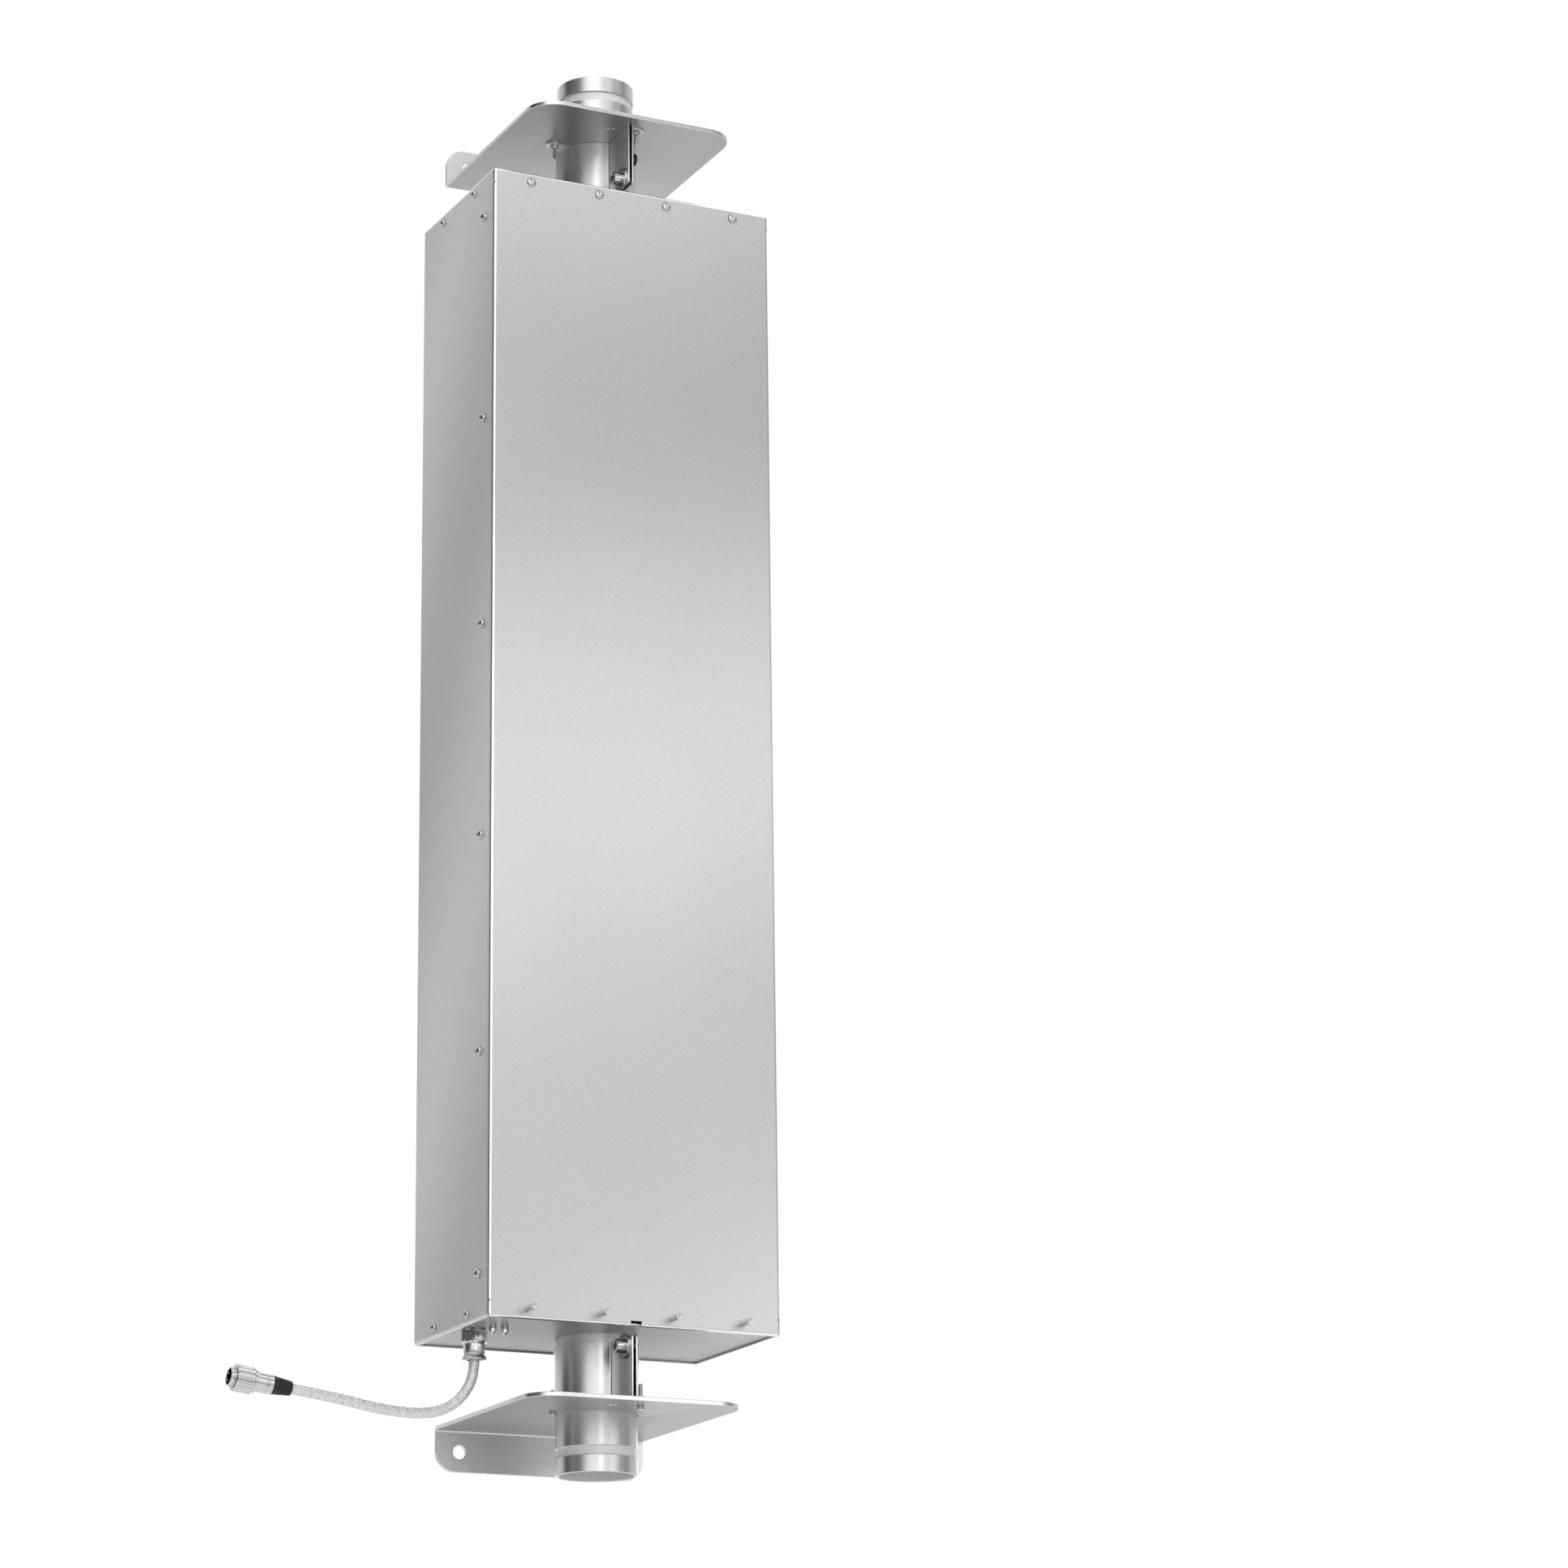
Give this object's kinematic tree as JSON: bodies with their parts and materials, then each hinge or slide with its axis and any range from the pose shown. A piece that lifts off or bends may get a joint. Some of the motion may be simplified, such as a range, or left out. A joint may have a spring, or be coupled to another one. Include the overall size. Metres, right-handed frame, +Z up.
{
  "type": "ultrasonic reactor",
  "caption": "Flow-through ultrasonic reactor: grooved-end stainless tube in a tall sheet-metal housing, on two pinch-clamp wall brackets, with a braided supply cable and plug.",
  "frame": {"origin": "middle of the upper bracket's two wall holes, on the wall face of the bracket's flange", "axes": "+Z up along the flow tube; +Y into the wall; +X to the right for someone facing the wide front panel, away from the cable gland"},
  "size_m": [0.5153, 0.24, 1.389],
  "materials": {
    "tube": "turned stainless steel with fine rings",
    "housing": "bead-blasted satin stainless steel",
    "plate": "satin stainless steel",
    "sleeve": "satin stainless steel",
    "fastener": "bright stainless steel",
    "dark_screw": "black oxide",
    "nickel": "nickel-plated brass",
    "seal": "black rubber",
    "insulator": "moulded insulator",
    "braid": "stainless wire braid",
    "horn": "machined aluminium",
    "ceramic": "fired ceramic, silvered faces",
    "copper": "bare copper alloy strip",
    "steel_mass": "machined steel"
  },
  "bodies": {
    "upper_bracket": {"upper_bracket_plate": "plate", "upper_clamp_sleeve": "sleeve", "upper_pinch_screw": "fastener", "upper_pinch_washer": "fastener", "upper_pinch_nut": "fastener", "upper_foot_screws": "fastener", "upper_foot_nuts": "fastener", "spreader_screw": "dark_screw"},
    "column": {"reactor_tube": "tube", "rear_shell": "housing", "front_cover": "housing", "top_cap": "housing", "bottom_cap": "housing", "top_row_screws": "fastener", "bottom_row_screws": "fastener", "left_column_screws": "fastener", "right_column_screws": "fastener", "tube_collars": "sleeve", "collar_gaskets": "seal", "collar_nuts": "fastener", "terminal_block": "insulator", "gland_seal": "seal", "gland_locknut": "nickel", "left_horn_blocks": "horn", "left_piezo_rings": "ceramic", "left_electrodes": "copper", "left_back_masses": "steel_mass", "left_preload_bolts": "steel_mass", "left_live_bus": "copper", "right_horn_blocks": "horn", "right_piezo_rings": "ceramic", "right_electrodes": "copper", "right_back_masses": "steel_mass", "right_preload_bolts": "steel_mass", "right_live_bus": "copper", "dome_screws": "fastener", "gland_body": "nickel", "gland_ring": "nickel", "hf_cable": "braid", "plug_boot": "seal", "plug_shell": "nickel", "plug_insert": "insulator"},
    "lower_bracket": {"lower_bracket_plate": "plate", "lower_clamp_sleeve": "sleeve", "lower_pinch_screw": "fastener", "lower_pinch_washer": "fastener", "lower_pinch_nut": "fastener", "lower_foot_screws": "fastener", "lower_foot_nuts": "fastener"},
    "coupling_ring": {"coupling_ring": "nickel"}
  },
  "joints": [
    {"name": "column_slide", "type": "slide", "parent": "upper_bracket", "child": "column", "axis": [0, 0, 1], "range_m": [-0.03, 0.004]},
    {"name": "lower_bracket_slide", "type": "slide", "parent": "column", "child": "lower_bracket", "axis": [0, 0, 1], "range_m": [-0.03, 0.002]},
    {"name": "coupling_ring_turn", "type": "hinge", "parent": "column", "child": "coupling_ring", "pos_m": [-0.35137, -0.14597, -1.27261], "axis": [-0.9906, 0.0225, 0.1351], "continuous": true}
  ]
}
